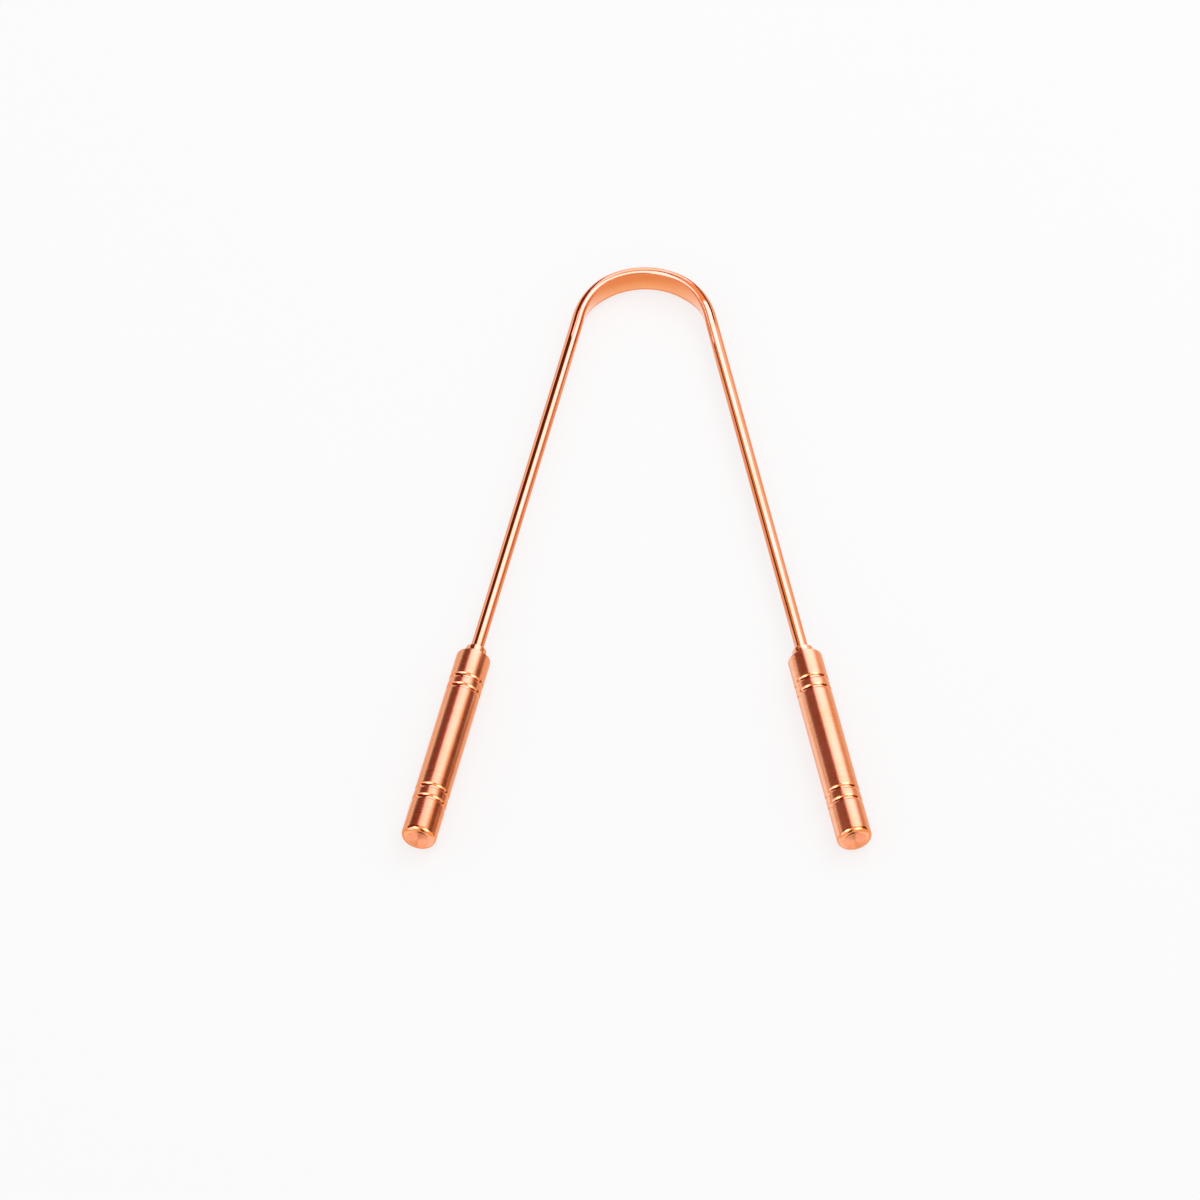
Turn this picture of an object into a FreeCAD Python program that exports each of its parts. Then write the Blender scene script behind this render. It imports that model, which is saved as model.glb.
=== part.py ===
import FreeCAD, Part
import math
import os

# Copper tongue scraper lying on a table, sizes in mm.
# X runs across it, +Y from the grips to the arch, +Z up. The origin is under the middle of its box.

# Bow: a rod with round drawn legs and a forged band
WIRE_DIA = 2.7              # round legs
SPLAY_DEG = 12.2            # each leg leans out from the centre line
ARCH_RADIUS = 14.4          # centre line of the arch
LEG_LENGTH = 94.5           # straight leg from the arch to the shoulder of a grip
BAND_WIDTH = 6.2            # forged band at the top of the arch, measured along Z
BAND_THICKNESS = 2.1
BAND_FULL_DEG = 34.0        # the band keeps its full width this far to each side of the top
BLEND_ON_LEG = 4.0          # the band runs out into the round leg this far down it
OVAL_CORNER_DEG = 86.0      # where the broad and the narrow arcs of the oval section meet
ARCH_SECTIONS = 10          # sections on each half of the arch
LEG_SECTIONS = 4            # sections on the start of each leg

# Grips
HANDLE_DIA = 7.2
HANDLE_LENGTH = 47.6        # shoulder to end face
NECK_DIA = 4.4
NECK_HEIGHT = 2.3
NECK_ROUND = 0.3
NECK_ROOT = 0.3
SHOULDER_ROUND = 0.35
END_ROUND = 1.1
BORE_DEPTH = 14.0           # below the shoulder
BORE_CLEARANCE = 0.02       # radial room between leg and bore
MOUTH_CHAMFER = 0.15
GROOVE_WIDTH = 1.3
GROOVE_DEPTH = 0.25
UPPER_GROOVE = 7.1          # shoulder to the middle of the first groove
UPPER_PITCH = 2.65
LOWER_GROOVE = 8.7          # end face to the middle of the last groove
LOWER_PITCH = 2.85

WIRE_R = WIRE_DIA / 2
HANDLE_R = HANDLE_DIA / 2
SPLAY = math.radians(SPLAY_DEG)
AXIS_Z = HANDLE_R           # the grips touch the table

# Heights along Y above the middle of the grips' end faces
LEG_RISE = (LEG_LENGTH + HANDLE_LENGTH) * math.cos(SPLAY)
ARCH_CENTRE = LEG_RISE - ARCH_RADIUS * math.sin(SPLAY)
TOP_Y = ARCH_CENTRE + ARCH_RADIUS + BAND_THICKNESS / 2
LOW_Y = END_ROUND * (math.cos(SPLAY) - 1) - (HANDLE_R - END_ROUND) * math.sin(SPLAY)
Y_SHIFT = -(TOP_Y + LOW_Y) / 2


def point(x, y, z):
    return FreeCAD.Vector(x, y, z)


def smooth(share):
    share = min(max(share, 0.0), 1.0)
    return share * share * (3 - 2 * share)


def oval(centre, outward, width, thickness):
    """Closed section of four tangent arcs: broad faces across `outward`, narrow edges up and down."""
    corner = math.radians(OVAL_CORNER_DEG)
    half_w = width / 2
    half_t = thickness / 2
    spread = (half_w - half_t) / (math.sin(corner) + math.cos(corner) - 1)
    edge_r = half_w - spread * math.cos(corner)

    def at(out, up):
        return centre + outward * out + point(0, 0, up)

    def on_edge(angle, side):
        return at(edge_r * math.sin(angle), side * (half_w - edge_r + edge_r * math.cos(angle)))

    def on_face(side):
        return at(side * half_t, 0)

    top_in = on_edge(-corner, 1)
    top_out = on_edge(corner, 1)
    low_in = on_edge(-corner, -1)
    low_out = on_edge(corner, -1)
    arcs = [
        Part.Arc(top_in, on_edge(0, 1), top_out),
        Part.Arc(top_out, on_face(1), low_out),
        Part.Arc(low_out, on_edge(0, -1), low_in),
        Part.Arc(low_in, on_face(-1), top_in),
    ]
    return Part.Wire([arc.toShape() for arc in arcs])


def half_path():
    """Stations from the round leg to the top of the arch, as (x, y, turn, share of the band's section)."""
    half_turn = math.pi / 2 - SPLAY
    full = math.radians(BAND_FULL_DEG)
    blend = BLEND_ON_LEG + ARCH_RADIUS * (half_turn - full)
    stations = []
    for i in range(LEG_SECTIONS):
        down = BLEND_ON_LEG * (1.25 - 1.25 * i / LEG_SECTIONS)
        x = ARCH_RADIUS * math.cos(SPLAY) + down * math.sin(SPLAY)
        y = ARCH_CENTRE + ARCH_RADIUS * math.sin(SPLAY) - down * math.cos(SPLAY)
        stations.append((x, y, SPLAY, smooth((BLEND_ON_LEG - down) / blend)))
    for i in range(ARCH_SECTIONS + 1):
        turn = half_turn * i / ARCH_SECTIONS
        angle = SPLAY + turn
        x = ARCH_RADIUS * math.cos(angle)
        y = ARCH_CENTRE + ARCH_RADIUS * math.sin(angle)
        stations.append((x, y, angle, smooth((BLEND_ON_LEG + ARCH_RADIUS * turn) / blend)))
    return stations


def make_bow():
    right = half_path()
    left = [(-x, y, math.pi - angle, share) for x, y, angle, share in reversed(right[:-1])]
    wires = []
    for x, y, angle, share in right + left:
        width = WIRE_DIA + (BAND_WIDTH - WIRE_DIA) * share
        thickness = WIRE_DIA + (BAND_THICKNESS - WIRE_DIA) * share
        outward = point(math.cos(angle), math.sin(angle), 0)
        wires.append(oval(point(x, y + Y_SHIFT, AXIS_Z), outward, width, thickness))
    arch = Part.makeLoft(wires, True, False)
    tail = LEG_LENGTH + BORE_DEPTH - BLEND_ON_LEG * 1.25
    legs = []
    for wire, side in ((wires[0], 1), (wires[-1], -1)):
        run = point(side * math.sin(SPLAY), -math.cos(SPLAY), 0) * tail
        legs.append(Part.Face(wire).extrude(run))
    return arch.fuse(legs).removeSplitter()


def handle_profile():
    """Half section of a grip: x is the radius, -y runs from the shoulder to the end face."""
    bore_r = WIRE_R + BORE_CLEARANCE
    neck_r = NECK_DIA / 2
    diag = math.sqrt(0.5)
    edges = []
    last = [point(0, -BORE_DEPTH, 0)]

    def line_to(x, y):
        edges.append(Part.LineSegment(last[0], point(x, y, 0)).toShape())
        last[0] = point(x, y, 0)

    def arc_to(mid_x, mid_y, x, y):
        edges.append(Part.Arc(last[0], point(mid_x, mid_y, 0), point(x, y, 0)).toShape())
        last[0] = point(x, y, 0)

    def round_to(centre_x, centre_y, radius, side_x, side_y, x, y):
        arc_to(centre_x + side_x * radius * diag, centre_y + side_y * radius * diag, x, y)

    line_to(bore_r, -BORE_DEPTH)
    line_to(bore_r, NECK_HEIGHT - MOUTH_CHAMFER)
    line_to(bore_r + MOUTH_CHAMFER, NECK_HEIGHT)
    line_to(neck_r - NECK_ROUND, NECK_HEIGHT)
    neck_top = NECK_HEIGHT - NECK_ROUND
    round_to(neck_r - NECK_ROUND, neck_top, NECK_ROUND, 1, 1, neck_r, neck_top)
    line_to(neck_r, NECK_ROOT)
    round_to(neck_r + NECK_ROOT, NECK_ROOT, NECK_ROOT, -1, -1, neck_r + NECK_ROOT, 0)
    line_to(HANDLE_R - SHOULDER_ROUND, 0)
    round_to(HANDLE_R - SHOULDER_ROUND, -SHOULDER_ROUND, SHOULDER_ROUND, 1, 1, HANDLE_R, -SHOULDER_ROUND)
    lowest = HANDLE_LENGTH - LOWER_GROOVE
    for middle in (UPPER_GROOVE, UPPER_GROOVE + UPPER_PITCH, lowest - LOWER_PITCH, lowest):
        line_to(HANDLE_R, -middle + GROOVE_WIDTH / 2)
        arc_to(HANDLE_R - GROOVE_DEPTH, -middle, HANDLE_R, -middle - GROOVE_WIDTH / 2)
    line_to(HANDLE_R, -HANDLE_LENGTH + END_ROUND)
    flat_r = HANDLE_R - END_ROUND
    round_to(flat_r, -HANDLE_LENGTH + END_ROUND, END_ROUND, 1, -1, flat_r, -HANDLE_LENGTH)
    line_to(0, -HANDLE_LENGTH)
    line_to(0, -BORE_DEPTH)
    return Part.Face(Part.Wire(edges))


def make_handle(side):
    """Turned grip on the right (side 1) or left (side -1) leg."""
    grip = handle_profile().revolve(point(0, 0, 0), point(0, 1, 0), 360)
    reach = ARCH_RADIUS * math.cos(SPLAY) + LEG_LENGTH * math.sin(SPLAY)
    shoulder_y = ARCH_CENTRE + ARCH_RADIUS * math.sin(SPLAY) - LEG_LENGTH * math.cos(SPLAY)
    grip.rotate(point(0, 0, 0), point(0, 0, 1), side * SPLAY_DEG)
    grip.translate(point(side * reach, shoulder_y + Y_SHIFT, AXIS_Z))
    return grip


os.makedirs("parts", exist_ok=True)
make_bow().exportStep("parts/bow.step")
make_handle(-1).exportStep("parts/left_handle.step")
make_handle(1).exportStep("parts/right_handle.step")
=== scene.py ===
import math

import bmesh
import bpy
from mathutils import Matrix, Vector


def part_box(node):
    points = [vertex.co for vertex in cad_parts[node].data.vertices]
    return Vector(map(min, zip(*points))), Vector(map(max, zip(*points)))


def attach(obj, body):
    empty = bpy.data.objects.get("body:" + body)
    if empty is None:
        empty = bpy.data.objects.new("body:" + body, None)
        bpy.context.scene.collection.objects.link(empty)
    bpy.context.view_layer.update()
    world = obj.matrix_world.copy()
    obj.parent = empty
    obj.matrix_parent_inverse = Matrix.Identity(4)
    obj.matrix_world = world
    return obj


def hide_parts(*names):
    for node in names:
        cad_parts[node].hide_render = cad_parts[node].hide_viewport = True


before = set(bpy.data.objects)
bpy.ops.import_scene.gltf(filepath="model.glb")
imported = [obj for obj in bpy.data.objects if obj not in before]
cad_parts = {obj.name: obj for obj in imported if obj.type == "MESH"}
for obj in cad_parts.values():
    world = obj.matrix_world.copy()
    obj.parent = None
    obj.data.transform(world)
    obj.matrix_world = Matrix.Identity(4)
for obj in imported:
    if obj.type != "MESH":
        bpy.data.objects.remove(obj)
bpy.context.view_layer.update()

# Bow: one copper rod, polished to a mirror and bent into a U. Its legs are drawn round and run on into the
# grips, and its arch is forged into a wide oval band, the scraping edge.
MM = 0.001
LEG_DIA = 2.7 * MM
SPLAY = math.radians(12.2)          # each leg leans out from the centre line
ARCH_RADIUS = 14.4 * MM
BAND_WIDTH = 6.2 * MM
BAND_THICKNESS = 2.1 * MM
BAND_FULL = math.radians(34.0)      # the band keeps its full width this far to each side of the top
BLEND_ON_LEG = 4.0 * MM             # the band runs out into the round leg this far down it
OVAL_CORNER = math.radians(86.0)    # where the broad and the narrow arcs of the section meet
LEG_LENGTH = 94.5 * MM              # from the arch to the shoulder of a grip
BORE_DEPTH = 14.0 * MM              # run of a leg inside its grip
STATIONS = 560
AROUND = 72
CROWD_TO_ARCH = 0.3                 # share of the stations' spacing at the top of the arch
CROWD_TO_FACE = 0.38                # how far the points round a section gather on its broad faces
WELD_GAP = 0.002 * MM

bow_low, bow_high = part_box("bow")
ARCH_CENTRE_Y = bow_high.y - BAND_THICKNESS / 2 - ARCH_RADIUS
AXIS_Z = (bow_low.z + bow_high.z) / 2
HALF_TURN = math.pi / 2 - SPLAY
HALF_RUN = ARCH_RADIUS * HALF_TURN + LEG_LENGTH + BORE_DEPTH


class NodeMaths:
    """Short way to write sums as nodes in one tree."""

    def __init__(self, tree):
        self.tree = tree

    def node(self, kind, **settings):
        made = self.tree.nodes.new(kind)
        for name, value in settings.items():
            setattr(made, name, value)
        return made

    def put(self, value, socket):
        if isinstance(value, bpy.types.NodeSocket):
            self.tree.links.new(value, socket)
        else:
            socket.default_value = value

    def sum(self, operation, *values):
        made = self.node("ShaderNodeMath", operation=operation)
        for i, value in enumerate(values):
            self.put(value, made.inputs[i])
        return made.outputs[0]

    def add(self, a, b):
        return self.sum("ADD", a, b)

    def less(self, a, b):
        return self.sum("SUBTRACT", a, b)

    def times(self, a, b):
        return self.sum("MULTIPLY", a, b)

    def over(self, a, b):
        return self.sum("DIVIDE", a, b)


def bow_tree():
    """Rod bent into a U: a grid whose X runs along the rod and whose Y runs round its section."""
    tree = bpy.data.node_groups.new("forged_copper_bow", "GeometryNodeTree")
    tree.is_modifier = True
    sizes = [
        ("Leg Diameter", LEG_DIA),
        ("Arch Radius", ARCH_RADIUS),
        ("Half Turn", HALF_TURN),
        ("Half Run", HALF_RUN),
        ("Band Width", BAND_WIDTH),
        ("Band Thickness", BAND_THICKNESS),
        ("Band Full Angle", BAND_FULL),
        ("Blend On Leg", BLEND_ON_LEG),
        ("Oval Corner", OVAL_CORNER),
        ("Arch Centre Y", ARCH_CENTRE_Y),
        ("Axis Height", AXIS_Z),
    ]
    face = tree.interface
    face.new_socket("Geometry", in_out="OUTPUT", socket_type="NodeSocketGeometry")
    for name, _ in sizes:
        face.new_socket(name, in_out="INPUT", socket_type="NodeSocketFloat")
    face.new_socket("Material", in_out="INPUT", socket_type="NodeSocketMaterial")
    n = NodeMaths(tree)
    given = n.node("NodeGroupInput").outputs

    grid = n.node("GeometryNodeMeshGrid")
    grid.inputs["Size X"].default_value = 1.0
    grid.inputs["Size Y"].default_value = 1.0
    grid.inputs["Vertices X"].default_value = STATIONS
    grid.inputs["Vertices Y"].default_value = AROUND + 1
    at = n.node("ShaderNodeSeparateXYZ")
    n.put(n.node("GeometryNodeInputPosition").outputs[0], at.inputs[0])

    # Run along the rod from the top of the arch, negative on the left leg
    share = n.times(at.outputs["X"], 2.0)
    cubed = n.times(n.sum("POWER", n.sum("ABSOLUTE", share), 3.0), n.sum("SIGN", share))
    eased = n.add(n.times(share, CROWD_TO_ARCH), n.times(cubed, 1.0 - CROWD_TO_ARCH))
    run = n.times(eased, given["Half Run"])
    bend = n.sum("MAXIMUM", n.times(given["Half Turn"], -1.0), n.over(run, given["Arch Radius"]))
    bend = n.sum("MINIMUM", given["Half Turn"], bend)
    straight = n.less(run, n.times(bend, given["Arch Radius"]))
    sine, cosine = n.sum("SINE", bend), n.sum("COSINE", bend)
    path_x = n.add(n.times(given["Arch Radius"], sine), n.times(straight, cosine))
    path_y = n.less(n.times(given["Arch Radius"], cosine), n.times(straight, sine))

    # Forged share: 0 on the round legs, 1 on the band
    round_at = n.add(n.times(given["Arch Radius"], given["Half Turn"]), given["Blend On Leg"])
    full_at = n.times(given["Arch Radius"], given["Band Full Angle"])
    forge = n.node("ShaderNodeMapRange", interpolation_type="SMOOTHSTEP")
    n.put(n.sum("ABSOLUTE", run), forge.inputs["Value"])
    n.put(round_at, forge.inputs["From Min"])
    n.put(full_at, forge.inputs["From Max"])
    forged = forge.outputs[0]

    # Oval of four tangent arcs, by the direction that each point faces
    radius = n.times(given["Leg Diameter"], 0.5)
    half_w = n.add(radius, n.times(forged, n.less(n.times(given["Band Width"], 0.5), radius)))
    half_t = n.add(radius, n.times(forged, n.less(n.times(given["Band Thickness"], 0.5), radius)))
    corner_s, corner_c = n.sum("SINE", given["Oval Corner"]), n.sum("COSINE", given["Oval Corner"])
    spread = n.over(n.less(half_w, half_t), n.less(n.add(corner_s, corner_c), 1.0))
    turn = n.times(at.outputs["Y"], 2 * math.pi)
    facing = n.add(turn, n.times(n.sum("SINE", n.times(turn, 2.0)), CROWD_TO_FACE))
    out_part, up_part = n.sum("SINE", facing), n.sum("COSINE", facing)
    on_edge = n.sum("GREATER_THAN", n.sum("ABSOLUTE", up_part), corner_c)
    edge_r = n.less(half_w, n.times(spread, corner_c))
    face_r = n.add(half_t, n.times(spread, corner_s))
    arc_r = n.add(face_r, n.times(on_edge, n.less(edge_r, face_r)))
    shift_up = n.times(n.times(n.sum("SIGN", up_part), on_edge), n.less(half_w, edge_r))
    shift_out = n.times(n.times(n.sum("SIGN", out_part), n.less(1.0, on_edge)), n.less(half_t, face_r))

    # The first and the last station shrink to a point, which closes the rod's ends
    last_but_one = 0.5 - 0.25 / STATIONS
    inside = n.sum("LESS_THAN", n.sum("ABSOLUTE", at.outputs["X"]), last_but_one)
    out = n.times(inside, n.add(n.times(arc_r, out_part), shift_out))
    up = n.times(inside, n.add(n.times(arc_r, up_part), shift_up))

    place = n.node("ShaderNodeCombineXYZ")
    n.put(n.add(path_x, n.times(out, sine)), place.inputs["X"])
    n.put(n.add(given["Arch Centre Y"], n.add(path_y, n.times(out, cosine))), place.inputs["Y"])
    n.put(n.add(given["Axis Height"], up), place.inputs["Z"])

    keep_uv = n.node("GeometryNodeStoreNamedAttribute", data_type="FLOAT2", domain="CORNER")
    n.put(grid.outputs["Mesh"], keep_uv.inputs["Geometry"])
    keep_uv.inputs["Name"].default_value = "UVMap"
    n.put(grid.outputs["UV Map"], keep_uv.inputs["Value"])
    keep_forged = n.node("GeometryNodeStoreNamedAttribute", data_type="FLOAT", domain="POINT")
    n.put(keep_uv.outputs[0], keep_forged.inputs["Geometry"])
    keep_forged.inputs["Name"].default_value = "forged"
    n.put(forged, keep_forged.inputs["Value"])
    move = n.node("GeometryNodeSetPosition")
    n.put(keep_forged.outputs[0], move.inputs["Geometry"])
    n.put(place.outputs[0], move.inputs["Position"])
    weld = n.node("GeometryNodeMergeByDistance")
    n.put(move.outputs[0], weld.inputs["Geometry"])
    weld.inputs["Distance"].default_value = WELD_GAP
    smooth = n.node("GeometryNodeSetShadeSmooth")
    n.put(weld.outputs[0], smooth.inputs["Geometry"])
    real = n.node("GeometryNodeRealizeInstances")
    n.put(smooth.outputs[0], real.inputs["Geometry"])
    paint = n.node("GeometryNodeSetMaterial")
    n.put(real.outputs[0], paint.inputs["Geometry"])
    n.put(given["Material"], paint.inputs["Material"])
    n.put(paint.outputs[0], n.node("NodeGroupOutput").inputs[0])
    return tree, sizes


TONE_SCALE = 120.0                  # clouds of tone in a metre
TONE_DETAIL = 3.0
TONE_PALING = -0.6                  # copper that is brighter is less saturated by this share
POLISHED_COLOUR = (0.87, 0.25, 0.085, 1.0)
POLISHED_DRIFT = 0.12               # swing of the tone over the piece
POLISHED_ROUGHNESS = 0.06
HAZE_ROUGHNESS = 0.03               # swing of the polish over the piece
BAND_ROUGHNESS = 0.12               # what the forged band adds


def new_material(name):
    material = bpy.data.materials.new(name)
    material.use_nodes = True
    shader = material.node_tree.nodes["Principled BSDF"]
    return material, shader, NodeMaths(material.node_tree)


def shader_group(name, inputs, outputs):
    """Empty shader node group with float or colour sockets, and its two ends."""
    tree = bpy.data.node_groups.new(name, "ShaderNodeTree")
    for way, sockets in (("INPUT", inputs), ("OUTPUT", outputs)):
        for socket, kind in sockets:
            tree.interface.new_socket(socket, in_out=way, socket_type="NodeSocket" + kind)
    n = NodeMaths(tree)
    return tree, n, n.node("NodeGroupInput").outputs, n.node("NodeGroupOutput").inputs


def copper_tone_group():
    """Bare copper: a slow drift of tone over the piece, and a matching drift of its polish."""
    tree, n, given, result = shader_group(
        "copper_tone", [("Colour", "Color"), ("Drift", "Float")], [("Colour", "Color"), ("Haze", "Float")])
    cloud = n.node("ShaderNodeTexNoise")
    n.put(n.node("ShaderNodeTexCoord").outputs["Object"], cloud.inputs["Vector"])
    cloud.inputs["Scale"].default_value = TONE_SCALE
    cloud.inputs["Detail"].default_value = TONE_DETAIL
    swing = n.less(cloud.outputs["Fac"], 0.5)
    tint = n.node("ShaderNodeHueSaturation")
    n.put(given["Colour"], tint.inputs["Color"])
    n.put(n.add(1.0, n.times(swing, given["Drift"])), tint.inputs["Value"])
    paling = n.times(swing, n.times(given["Drift"], TONE_PALING))
    n.put(n.add(1.0, paling), tint.inputs["Saturation"])
    n.put(tint.outputs["Color"], result["Colour"])
    n.put(swing, result["Haze"])
    return tree


copper_tone = copper_tone_group()


def toned(n, colour, drift):
    """The copper tone's colour and haze in one material."""
    tone = n.node("ShaderNodeGroup", node_tree=copper_tone)
    tone.inputs["Colour"].default_value = colour
    tone.inputs["Drift"].default_value = drift
    return tone.outputs["Colour"], tone.outputs["Haze"]


def polished_copper():
    material, shader, n = new_material("polished_copper")
    colour, haze = toned(n, POLISHED_COLOUR, POLISHED_DRIFT)
    n.put(colour, shader.inputs["Base Color"])
    shader.inputs["Metallic"].default_value = 1.0
    band = n.node("ShaderNodeAttribute", attribute_name="forged").outputs["Fac"]
    polish = n.add(POLISHED_ROUGHNESS, n.times(haze, HAZE_ROUGHNESS))
    n.put(n.add(polish, n.times(band, BAND_ROUGHNESS)), shader.inputs["Roughness"])
    return material


def applied(piece):
    """Puts the piece's evaluated mesh in place of its modifiers."""
    graph = bpy.context.evaluated_depsgraph_get()
    mesh = bpy.data.meshes.new_from_object(piece.evaluated_get(graph))
    piece.modifiers.clear()
    piece.data = mesh


def outward(mesh):
    """Turns every face of a closed mesh outwards."""
    shell = bmesh.new()
    shell.from_mesh(mesh)
    bmesh.ops.recalc_face_normals(shell, faces=shell.faces)
    shell.to_mesh(mesh)
    shell.free()


def new_piece(name, mesh):
    piece = bpy.data.objects.new(name, mesh)
    bpy.context.scene.collection.objects.link(piece)
    return piece


bow = new_piece("copper_bow", bpy.data.meshes.new("copper_bow"))
bow_nodes = bow.modifiers.new("forged_copper_bow", "NODES")
bow_nodes.node_group, bow_sizes = bow_tree()
bow_inputs = dict(bow_sizes, Material=polished_copper())
for item in bow_nodes.node_group.interface.items_tree:
    if item.in_out == "INPUT":
        bow_nodes[item.identifier] = bow_inputs[item.name]
applied(bow)
outward(bow.data)
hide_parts("bow")
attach(bow, "root")

# Grips: two solid copper bars turned on a lathe, with a stepped neck that the leg enters and two pairs of
# shallow grooves. The barrel and end face are left satin from the tool, the grooves and edges are polished.
HANDLE_DIA = 7.2 * MM
HANDLE_LENGTH = 47.6 * MM           # shoulder to end face
NECK_DIA = 4.4 * MM
NECK_HEIGHT = 2.3 * MM
NECK_ROUND = 0.3 * MM
NECK_ROOT = 0.3 * MM
SHOULDER_ROUND = 0.35 * MM
END_ROUND = 1.1 * MM
BORE_CLEARANCE = 0.02 * MM          # radial room between leg and bore
MOUTH_CHAMFER = 0.15 * MM
GROOVE_WIDTH = 1.3 * MM
GROOVE_DEPTH = 0.25 * MM
UPPER_GROOVE = 7.1 * MM             # shoulder to the middle of the first groove
UPPER_PITCH = 2.65 * MM
LOWER_GROOVE = 8.7 * MM             # end face to the middle of the last groove
LOWER_PITCH = 2.85 * MM
LATHE_STEPS = 160
EDGE_STEPS, ROOT_STEPS, GROOVE_STEPS, END_STEPS = 8, 6, 14, 16
SHARP_ANGLE = math.radians(25)
SATIN, POLISHED, FACED = 0, 1, 2    # places of the finishes on the mesh


def arc_points(centre, radius, start, end, steps):
    """Points on an arc after its first one; angles in degrees, 0 along the radius, 90 towards the neck."""
    turns = [math.radians(start + (end - start) * i / steps) for i in range(1, steps + 1)]
    return [(centre[0] + radius * math.cos(a), centre[1] + radius * math.sin(a)) for a in turns]


def grip_profile():
    """Half section from the bore's floor round the outside to the end face, as (radius, height, finish)."""
    bore_r = LEG_DIA / 2 + BORE_CLEARANCE
    neck_r, grip_r = NECK_DIA / 2, HANDLE_DIA / 2
    line = [(0.0, -BORE_DEPTH, SATIN), (bore_r, -BORE_DEPTH, SATIN)]

    def go(points, finish):
        line.extend((radius, height, finish) for radius, height in points)

    go([(bore_r, NECK_HEIGHT - MOUTH_CHAMFER)], SATIN)
    go([(bore_r + MOUTH_CHAMFER, NECK_HEIGHT), (neck_r - NECK_ROUND, NECK_HEIGHT)], POLISHED)
    centre = (neck_r - NECK_ROUND, NECK_HEIGHT - NECK_ROUND)
    go(arc_points(centre, NECK_ROUND, 90, 0, EDGE_STEPS), POLISHED)
    go([(neck_r, NECK_ROOT)], POLISHED)
    go(arc_points((neck_r + NECK_ROOT, NECK_ROOT), NECK_ROOT, 180, 270, ROOT_STEPS), POLISHED)
    go([(grip_r - SHOULDER_ROUND, 0.0)], POLISHED)
    centre = (grip_r - SHOULDER_ROUND, -SHOULDER_ROUND)
    go(arc_points(centre, SHOULDER_ROUND, 90, 0, EDGE_STEPS), POLISHED)
    lowest = HANDLE_LENGTH - LOWER_GROOVE
    groove_r = (GROOVE_WIDTH**2 / 4 + GROOVE_DEPTH**2) / (2 * GROOVE_DEPTH)
    sweep = math.degrees(math.asin(GROOVE_WIDTH / 2 / groove_r))
    for middle in (UPPER_GROOVE, UPPER_GROOVE + UPPER_PITCH, lowest - LOWER_PITCH, lowest):
        go([(grip_r, -middle + GROOVE_WIDTH / 2)], SATIN)
        centre = (grip_r - GROOVE_DEPTH + groove_r, -middle)
        go(arc_points(centre, groove_r, 180 - sweep, 180 + sweep, GROOVE_STEPS), POLISHED)
    go([(grip_r, -HANDLE_LENGTH + END_ROUND)], SATIN)
    centre = (grip_r - END_ROUND, -HANDLE_LENGTH + END_ROUND)
    go(arc_points(centre, END_ROUND, 0, -90, END_STEPS), POLISHED)
    go([(0.0, -HANDLE_LENGTH)], FACED)
    return line


def lathe(name, profile, materials):
    """Turns a half section about the Y axis, with U along the section and V round the turn."""
    shell = bmesh.new()
    uv = shell.loops.layers.uv.new("UVMap")
    turns = [2 * math.pi * i / LATHE_STEPS for i in range(LATHE_STEPS)]
    rings, along, last = [], [], None
    for radius, height, _ in profile:
        along.append(0.0 if last is None else along[-1] + math.dist(last, (radius, height)))
        last = (radius, height)
        if radius == 0.0:
            rings.append([shell.verts.new((0.0, height, 0.0))] * LATHE_STEPS)
            continue
        rings.append([shell.verts.new((radius * math.cos(a), height, radius * math.sin(a))) for a in turns])
    for i in range(len(profile) - 1):
        for j in range(LATHE_STEPS):
            k = (j + 1) % LATHE_STEPS
            corners = [(i, j, j), (i, k, j + 1), (i + 1, k, j + 1), (i + 1, j, j)]
            if profile[i][0] == 0.0:
                corners = [(i, j, j + 0.5), corners[2], corners[3]]
            elif profile[i + 1][0] == 0.0:
                corners = [corners[0], corners[1], (i + 1, j, j + 0.5)]
            made = shell.faces.new([rings[ring][step] for ring, step, _ in corners])
            made.smooth = True
            made.material_index = profile[i + 1][2]
            for loop, (ring, _, v) in zip(made.loops, corners):
                loop[uv].uv = (along[ring] / HANDLE_LENGTH, v / LATHE_STEPS)
    bmesh.ops.recalc_face_normals(shell, faces=shell.faces)
    mesh = bpy.data.meshes.new(name)
    shell.to_mesh(mesh)
    shell.free()
    for material in materials:
        mesh.materials.append(material)
    return mesh


RING_LINES = 160.0                  # turning lines in one length of the grip
RING_WANDER = 0.5                   # how far a line changes on its way round
RING_DETAIL = 2.0
TURNED_COLOUR = (0.90, 0.295, 0.10, 1.0)
TURNED_DRIFT = 0.10
TURNED_SWING = 0.1                  # swing of the roughness, as a share of it


def turning_lines_group():
    """Fine rings left by the lathe, from the UV map: U runs along the section, V round the turn."""
    tree, n, given, result = shader_group("turning_lines", [("Lines", "Float")], [("Ring", "Float")])
    uv = n.node("ShaderNodeSeparateXYZ")
    n.put(n.node("ShaderNodeUVMap", uv_map="UVMap").outputs[0], uv.inputs[0])
    turn = n.times(uv.outputs["Y"], 2 * math.pi)
    ring = n.node("ShaderNodeCombineXYZ")
    n.put(n.times(uv.outputs["X"], given["Lines"]), ring.inputs["X"])
    n.put(n.times(n.sum("COSINE", turn), RING_WANDER), ring.inputs["Y"])
    n.put(n.times(n.sum("SINE", turn), RING_WANDER), ring.inputs["Z"])
    noise = n.node("ShaderNodeTexNoise")
    n.put(ring.outputs[0], noise.inputs["Vector"])
    noise.inputs["Scale"].default_value = 1.0
    noise.inputs["Detail"].default_value = RING_DETAIL
    n.put(n.less(noise.outputs["Fac"], 0.5), result["Ring"])
    return tree


turning_lines = turning_lines_group()


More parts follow.
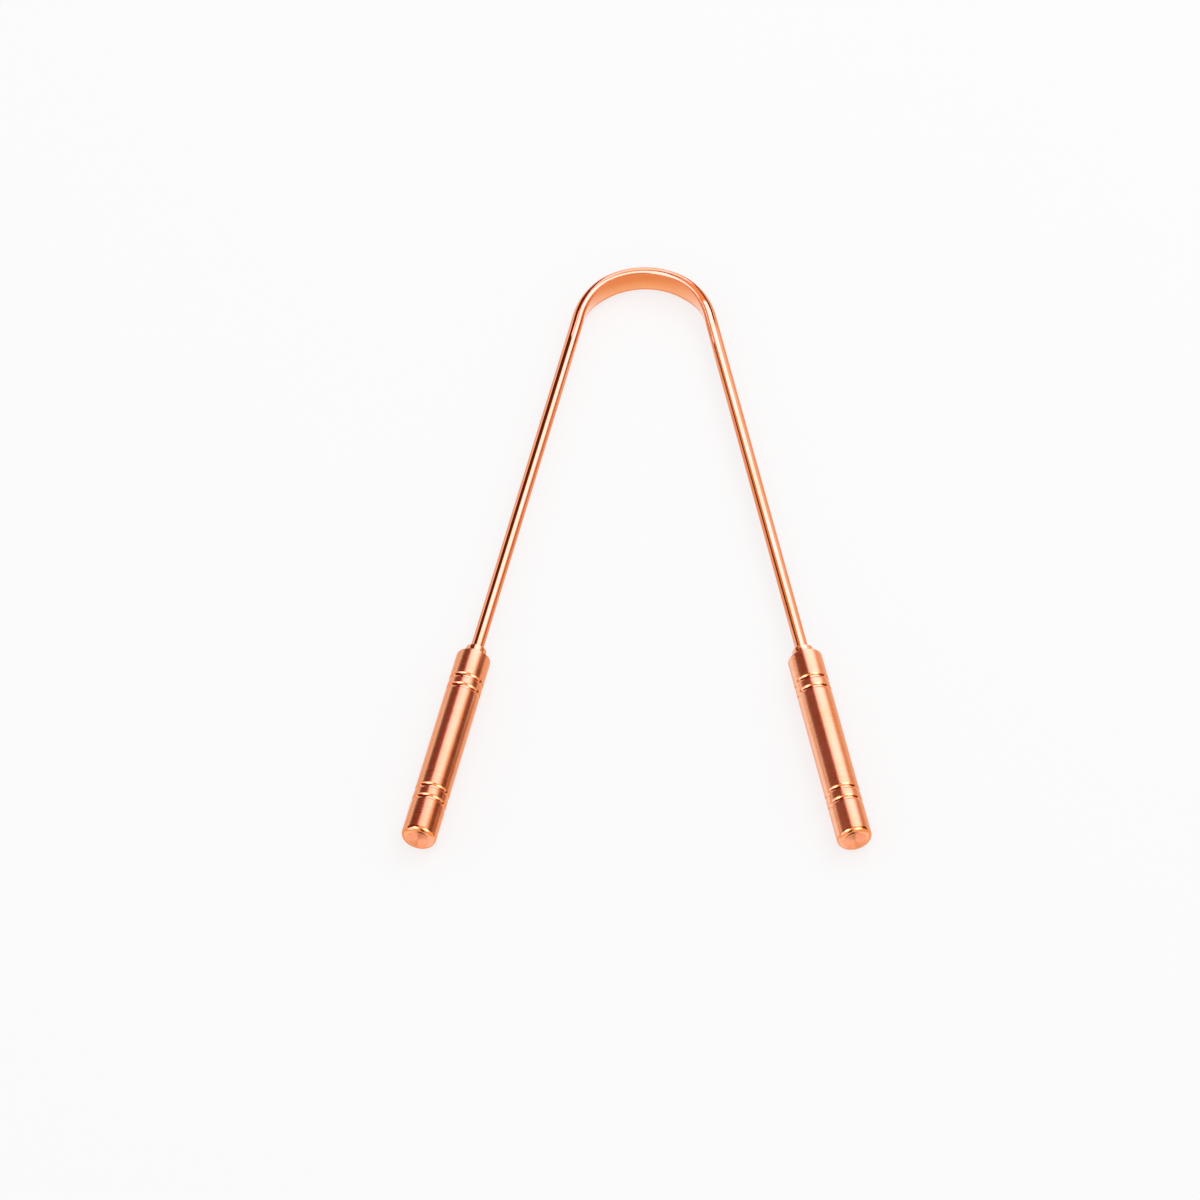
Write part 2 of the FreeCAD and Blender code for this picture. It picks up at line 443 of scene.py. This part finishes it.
def turned_copper(name, roughness, anisotropy, ring_depth):
    material, shader, n = new_material(name)
    colour, haze = toned(n, TURNED_COLOUR, TURNED_DRIFT)
    rings = n.node("ShaderNodeGroup", node_tree=turning_lines)
    rings.inputs["Lines"].default_value = RING_LINES
    ring = rings.outputs["Ring"]
    tint = n.node("ShaderNodeHueSaturation")
    n.put(colour, tint.inputs["Color"])
    n.put(n.add(1.0, n.times(ring, ring_depth)), tint.inputs["Value"])
    n.put(tint.outputs["Color"], shader.inputs["Base Color"])
    swing = n.times(n.add(haze, ring), TURNED_SWING * roughness)
    n.put(n.add(roughness, swing), shader.inputs["Roughness"])
    shader.inputs["Metallic"].default_value = 1.0
    shader.inputs["Anisotropic"].default_value = anisotropy
    tangent = n.node("ShaderNodeTangent", direction_type="UV_MAP", uv_map="UVMap")
    n.put(tangent.outputs[0], shader.inputs["Tangent"])
    return material


grip_finishes = [
    turned_copper("satin_copper", roughness=0.28, anisotropy=0.40, ring_depth=0.28),
    turned_copper("polished_grip_edges", roughness=0.17, anisotropy=0.0, ring_depth=0.08),
    turned_copper("faced_grip_ends", roughness=0.42, anisotropy=0.93, ring_depth=0.3),
]
shoulder_x = ARCH_RADIUS * math.cos(SPLAY) + LEG_LENGTH * math.sin(SPLAY)
shoulder_y = ARCH_CENTRE_Y + ARCH_RADIUS * math.sin(SPLAY) - LEG_LENGTH * math.cos(SPLAY)
for side, node in ((-1, "left_handle"), (1, "right_handle")):
    grip = new_piece("copper_" + node, lathe("copper_" + node, grip_profile(), grip_finishes))
    turn = Matrix.Rotation(side * SPLAY, 4, "Z")
    grip.data.transform(Matrix.Translation((side * shoulder_x, shoulder_y, AXIS_Z)) @ turn)
    grip.data.set_sharp_from_angle(angle=SHARP_ANGLE)
    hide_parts(node)
    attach(grip, "root")

# Floor: a plain white sweep. The camera and the metal see it almost white all over, and a soft shadow under
# the scraper stays on it.
FLOOR_SIZE = 8.0
FLOOR_COLOUR = (0.92, 0.92, 0.92, 1.0)
FLOOR_ROUGHNESS = 0.9
FLOOR_GLOW = 0.75                   # share of plain white in the floor as the camera and the metal see it


def seen_ray(n):
    """1 for rays from the camera and off metal or glass, 0 for light on matt surfaces."""
    ray = n.node("ShaderNodeLightPath").outputs
    seen = n.sum("MAXIMUM", ray["Is Camera Ray"], ray["Is Glossy Ray"])
    return n.sum("MAXIMUM", seen, ray["Is Transmission Ray"])


def glow_node(n, colour):
    glow = n.node("ShaderNodeEmission")
    glow.inputs["Color"].default_value = (*colour, 1.0)
    return glow.outputs[0]


def floor_material():
    material, shader, n = new_material("white_floor")
    shader.inputs["Base Color"].default_value = FLOOR_COLOUR
    shader.inputs["Roughness"].default_value = FLOOR_ROUGHNESS
    shader.inputs["Specular IOR Level"].default_value = 0.0
    mix = n.node("ShaderNodeMixShader")
    n.put(n.times(seen_ray(n), FLOOR_GLOW), mix.inputs[0])
    n.put(shader.outputs[0], mix.inputs[1])
    n.put(glow_node(n, (1.0, 1.0, 1.0)), mix.inputs[2])
    n.put(mix.outputs[0], material.node_tree.nodes["Material Output"].inputs["Surface"])
    return material


def panel(name, centre, across, along, material, sides=4):
    """Flat stage sheet with half sizes `across` and `along` about its centre; many sides make it round."""
    reach = 1.0 / math.cos(math.pi / sides)
    turns = [2 * math.pi * (i + 0.5) / sides for i in range(sides)]
    spokes = [Vector(across) * math.cos(a) + Vector(along) * math.sin(a) for a in turns]
    mesh = bpy.data.meshes.new(name)
    mesh.from_pydata([Vector(centre) + spoke * reach for spoke in spokes], [], [range(sides)])
    mesh.materials.append(material)
    made = new_piece(name, mesh)
    return made


half_floor = FLOOR_SIZE / 2
panel("floor", (0, 0, 0), (half_floor, 0, 0), (0, half_floor, 0), floor_material())

# Cards: pale boxes and dark flags that only the metal sees, and that draw the stripes on it. They are
# painted reflections: glowing sheets that light nothing else. Copper takes much of the blue out of what it
# mirrors, so the pale cards are bluer than the stripes that they give.
BACK_WHITE = (3.0, 2.91, 6.0)
SIDE_WHITE = (2.5, 2.425, 5.0)
FRONT_WHITE = (5.2, 4.9, 7.5)
LEG_WHITE = (1.8, 3.7, 9.0)
CREAM = (1.1, 1.65, 2.5)
END_CREAM = (1.25, 1.5, 2.3)
DISC_RIM = (1.1, 1.5, 1.8)
DISC_MIDDLE = (0.93, 0.95, 0.92)
AMBER = (0.85, 0.72, 0.52)
PALE_AMBER = (1.0, 0.90, 0.75)
DARK = (0.16, 0.030, 0.002)
RIGHT_DARK = (0.12, 0.025, 0.0)
LEG_DARK = (0.12, 0.05, 0.02)
END_DARK = (0.10, 0.04, 0.02)
CARD_LIFT = 0.4 * MM                # height of the cards that lie on the floor


def card(name, centre, across, along, colour, sides=4):
    """Glowing sheet that only the metal sees: a painted reflection, no lamp."""
    material, shader, n = new_material(name)
    n.put(glow_node(n, colour), material.node_tree.nodes["Material Output"].inputs["Surface"])
    material.node_tree.nodes.remove(shader)
    made = panel(name, centre, across, along, material, sides)
    made.visible_camera = False
    made.visible_diffuse = False
    made.visible_shadow = False
    made.visible_transmission = False


# Round the stage and beside the grips, as (middle, half width, half height)
card("back_box", (0.161, 0.495, 0.468), (0.314, -0.102, 0), (-0.062, -0.191, 0.223), BACK_WHITE)
card("left_box", (-0.472, -0.295, 0.225), (0.080, -0.127, 0), (0.057, 0.036, 0.167), SIDE_WHITE)
card("back_left_flag", (-0.3735, 0.1625, 0.3025), (0.272, 0.310, 0), (0.0105, -0.0925, 0.2075), DARK)
card("back_left_sill", (-0.3865, 0.275, 0.050), (0.272, 0.310, 0), (0.0023, -0.0200, 0.045), CREAM)
card("overhead_left_flag", (-0.28, 0.15, 0.55), (0.22, 0, 0), (0, 0.20, 0), DARK)
card("right_flag", (0.60, 0.225, 0.22), (0, 0.275, 0), (0, 0, 0.22), RIGHT_DARK)
# Painted shadow on the floor beside the left grip, then a painted glow beside the right grip; the grips show
# both only in their reflections
card("left_grip_painted_shadow", (-0.010, -0.0530, CARD_LIFT), (0.014, 0, 0), (0.0048, 0.0222, 0), DARK)
card("right_grip_glow", (0.018, -0.0430, CARD_LIFT), (0.012, 0, 0), (-0.0065, 0.0300, 0), CREAM)
card("front_flag", (0, -0.55, 0.33), (0.10, 0, 0), (0, 0.10, 0.25), DARK)
card("front_left_box", (-0.40, -0.30, 0.52), (0.145, -0.172, 0), (0.13, 0.11, 0.12), FRONT_WHITE)
card("front_right_box", (0.40, -0.30, 0.52), (0.145, 0.172, 0), (-0.13, 0.11, 0.12), FRONT_WHITE)

# Discs on the floor inside the arch, each smaller and warmer than the last: a painted reflection, a glow
# that only the band's inner face mirrors
DISCS = 5
DISC_RADIUS = 12.8 * MM
DISC_SHRINK = 0.13                  # share of the first radius that each disc loses
DISC_SHIFT = Vector((-0.3, 1.0, 0.1)) * MM
DISC_SIDES = 48
for step in range(DISCS):
    tint = Vector(DISC_RIM).lerp(Vector(DISC_MIDDLE), step / (DISCS - 1))
    middle = Vector((0.0, ARCH_CENTRE_Y, CARD_LIFT)) + DISC_SHIFT * step
    reach = DISC_RADIUS * (1.0 - DISC_SHRINK * step)
    card("band_glow_%d" % (step + 1), middle, (reach, 0, 0), (0, reach, 0), tint, DISC_SIDES)

# Strips along the legs, close above them: painted reflections that draw the legs' pale and dark stripes
LEFT_STRIP_HEIGHT = 10 * MM
RIGHT_STRIP_HEIGHT = 4.5 * MM
STRIP_SLANT = 0.15                  # sideways drift over half the leg, as a share of the height
FLAG_LENGTH = LEG_LENGTH - 8 * MM   # dark strips stop short of the arch


def leg_strips(hand, side, height, edge, strips):
    """Cards side by side over one leg; each edge lies sideways and forward by shares of the height."""
    slant = Vector((-side * STRIP_SLANT * height, 0.0, 0.0))
    edge = Vector((*edge, 1.0)) * height
    for name, far_edge, colour, length in strips:
        run = Vector((-side * math.sin(SPLAY), math.cos(SPLAY), 0.0)) * length / 2
        middle = Vector((side * shoulder_x, shoulder_y, AXIS_Z)) + run
        far_edge = Vector((*far_edge, 1.0)) * height
        centre, across = middle + (edge + far_edge) / 2, (far_edge - edge) / 2
        card(hand + "_leg_" + name, centre, across, run + slant, colour)
        edge = far_edge


leg_strips("left", -1, LEFT_STRIP_HEIGHT, (-5.43, 6.43), [
    ("cream", (-1.64, 2.16), CREAM, LEG_LENGTH),
    ("flag", (0.0, 0.80), LEG_DARK, FLAG_LENGTH),
    ("line", (0.17, 0.78), AMBER, LEG_LENGTH),
    ("white", (1.55, 0.97), LEG_WHITE, LEG_LENGTH),
    ("amber", (4.7, 2.33), PALE_AMBER, LEG_LENGTH),
])
leg_strips("right", 1, RIGHT_STRIP_HEIGHT, (-5.0, 2.45), [
    ("flag", (-1.45, 0.93), LEG_DARK, FLAG_LENGTH),
    ("amber", (-0.55, 0.73), AMBER, LEG_LENGTH),
    ("white", (0.42, 1.04), LEG_WHITE, LEG_LENGTH),
    ("cream", (2.5, 3.0), CREAM, LEG_LENGTH),
])

# A flag over the right shoulder of the arch, placed from the point where the leg meets the arch: a dark card
# that paints the dark line in that shoulder's reflection
ARCH_FLAG_START = Vector((4.1, 1.5, 4.2)) * MM
ARCH_FLAG_END = Vector((-5.2, 16.0, 4.2)) * MM
ARCH_FLAG_ACROSS = Vector((2.0, 0.7, 0.0)) * MM
arch_foot_y = ARCH_CENTRE_Y + ARCH_RADIUS * math.sin(SPLAY)
arch_foot = Vector((ARCH_RADIUS * math.cos(SPLAY), arch_foot_y, AXIS_Z))
arch_flag_middle = arch_foot + (ARCH_FLAG_START + ARCH_FLAG_END) / 2
card("right_arch_flag", arch_flag_middle, ARCH_FLAG_ACROSS, (ARCH_FLAG_END - ARCH_FLAG_START) / 2, DARK)

# On the floor in front of each grip, a painted glow and a painted dark strip that only the end face mirrors:
# name, gap from the end face to the middle, lift, half sizes, colour
END_CARDS = [
    ("glow", 16 * MM, 0.3 * MM, 14 * MM, 15 * MM, END_CREAM),
    ("flag", 33 * MM, 0.5 * MM, 2.5 * MM, 28 * MM, END_DARK),
]
for side, hand in ((-1, "left"), (1, "right")):
    out = Vector((side * math.sin(SPLAY), -math.cos(SPLAY), 0.0))
    for name, gap, lift, half_width, half_length, colour in END_CARDS:
        middle = Vector((side * shoulder_x, shoulder_y, lift)) + out * (HANDLE_LENGTH + gap)
        card(hand + "_end_" + name, middle, (half_width, 0, 0), out * half_length, colour)

# Light: one soft box behind and to the right, which throws the shadow, in a white room that lights the rest.
# The metal sees the room as plain white.
KEY_PLACE = (0.35, 0.45, 0.80)
KEY_SIZE = (0.6, 0.6)
KEY_RADIANCE = 1.8
WORLD_FILL = 0.8                    # light that the white room throws on matt surfaces


def soft_box(name, place, aim, size, radiance):
    """Area lamp of one brightness all over that lights matt surfaces and throws the soft shadow."""
    lamp = bpy.data.lights.new(name, "AREA")
    lamp.shape = "RECTANGLE"
    lamp.size, lamp.size_y = size
    lamp.energy = radiance * math.pi * size[0] * size[1]
    box = bpy.data.objects.new(name, lamp)
    box.location = place
    box.rotation_euler = (Vector(aim) - Vector(place)).to_track_quat("-Z", "Y").to_euler()
    box.visible_camera = False
    box.visible_glossy = False
    bpy.context.scene.collection.objects.link(box)


soft_box("key_box", KEY_PLACE, (0, 0, 0), KEY_SIZE, KEY_RADIANCE)

world = bpy.data.worlds.new("white_room")
world.use_nodes = True
room = NodeMaths(world.node_tree)
background = world.node_tree.nodes["Background"]
background.inputs["Color"].default_value = (1.0, 1.0, 1.0, 1.0)
room_light = room.add(WORLD_FILL, room.times(seen_ray(room), 1.0 - WORLD_FILL))
room.put(room_light, background.inputs["Strength"])
bpy.context.scene.world = world

# Camera: a long lens in front of the grips, turned and rolled a little, looking down at the scraper as it
# lies on the floor.
VIEW_ELEVATION = math.radians(51.4)
VIEW_AZIMUTH = math.radians(-2.12)
VIEW_ROLL = math.radians(-1.58)
VIEW_DISTANCE = 1.5
VIEW_END = 100.0
LENS = 216.8
SENSOR = 36.0
AIM = Vector((0.0, -0.0054, AXIS_Z))
AIM_OFF = (0.00841, 0.00623)        # the aimed point lies right of and above the frame's middle

forward = Vector((
    math.sin(VIEW_AZIMUTH) * math.cos(VIEW_ELEVATION),
    math.cos(VIEW_AZIMUTH) * math.cos(VIEW_ELEVATION),
    -math.sin(VIEW_ELEVATION),
))
level = Vector((math.cos(VIEW_AZIMUTH), -math.sin(VIEW_AZIMUTH), 0.0))
rise = level.cross(forward)
right = level * math.cos(VIEW_ROLL) + rise * math.sin(VIEW_ROLL)
above = rise * math.cos(VIEW_ROLL) - level * math.sin(VIEW_ROLL)
camera = bpy.data.objects.new("camera", bpy.data.cameras.new("camera"))
camera.data.lens = LENS
camera.data.sensor_width = SENSOR
camera.data.clip_end = VIEW_END
place = AIM - forward * VIEW_DISTANCE - right * AIM_OFF[0] - above * AIM_OFF[1]
camera.matrix_world = Matrix.Translation(place) @ Matrix((right, above, -forward)).transposed().to_4x4()
bpy.context.scene.collection.objects.link(camera)
bpy.context.scene.camera = camera
bpy.context.scene.view_settings.view_transform = "Standard"
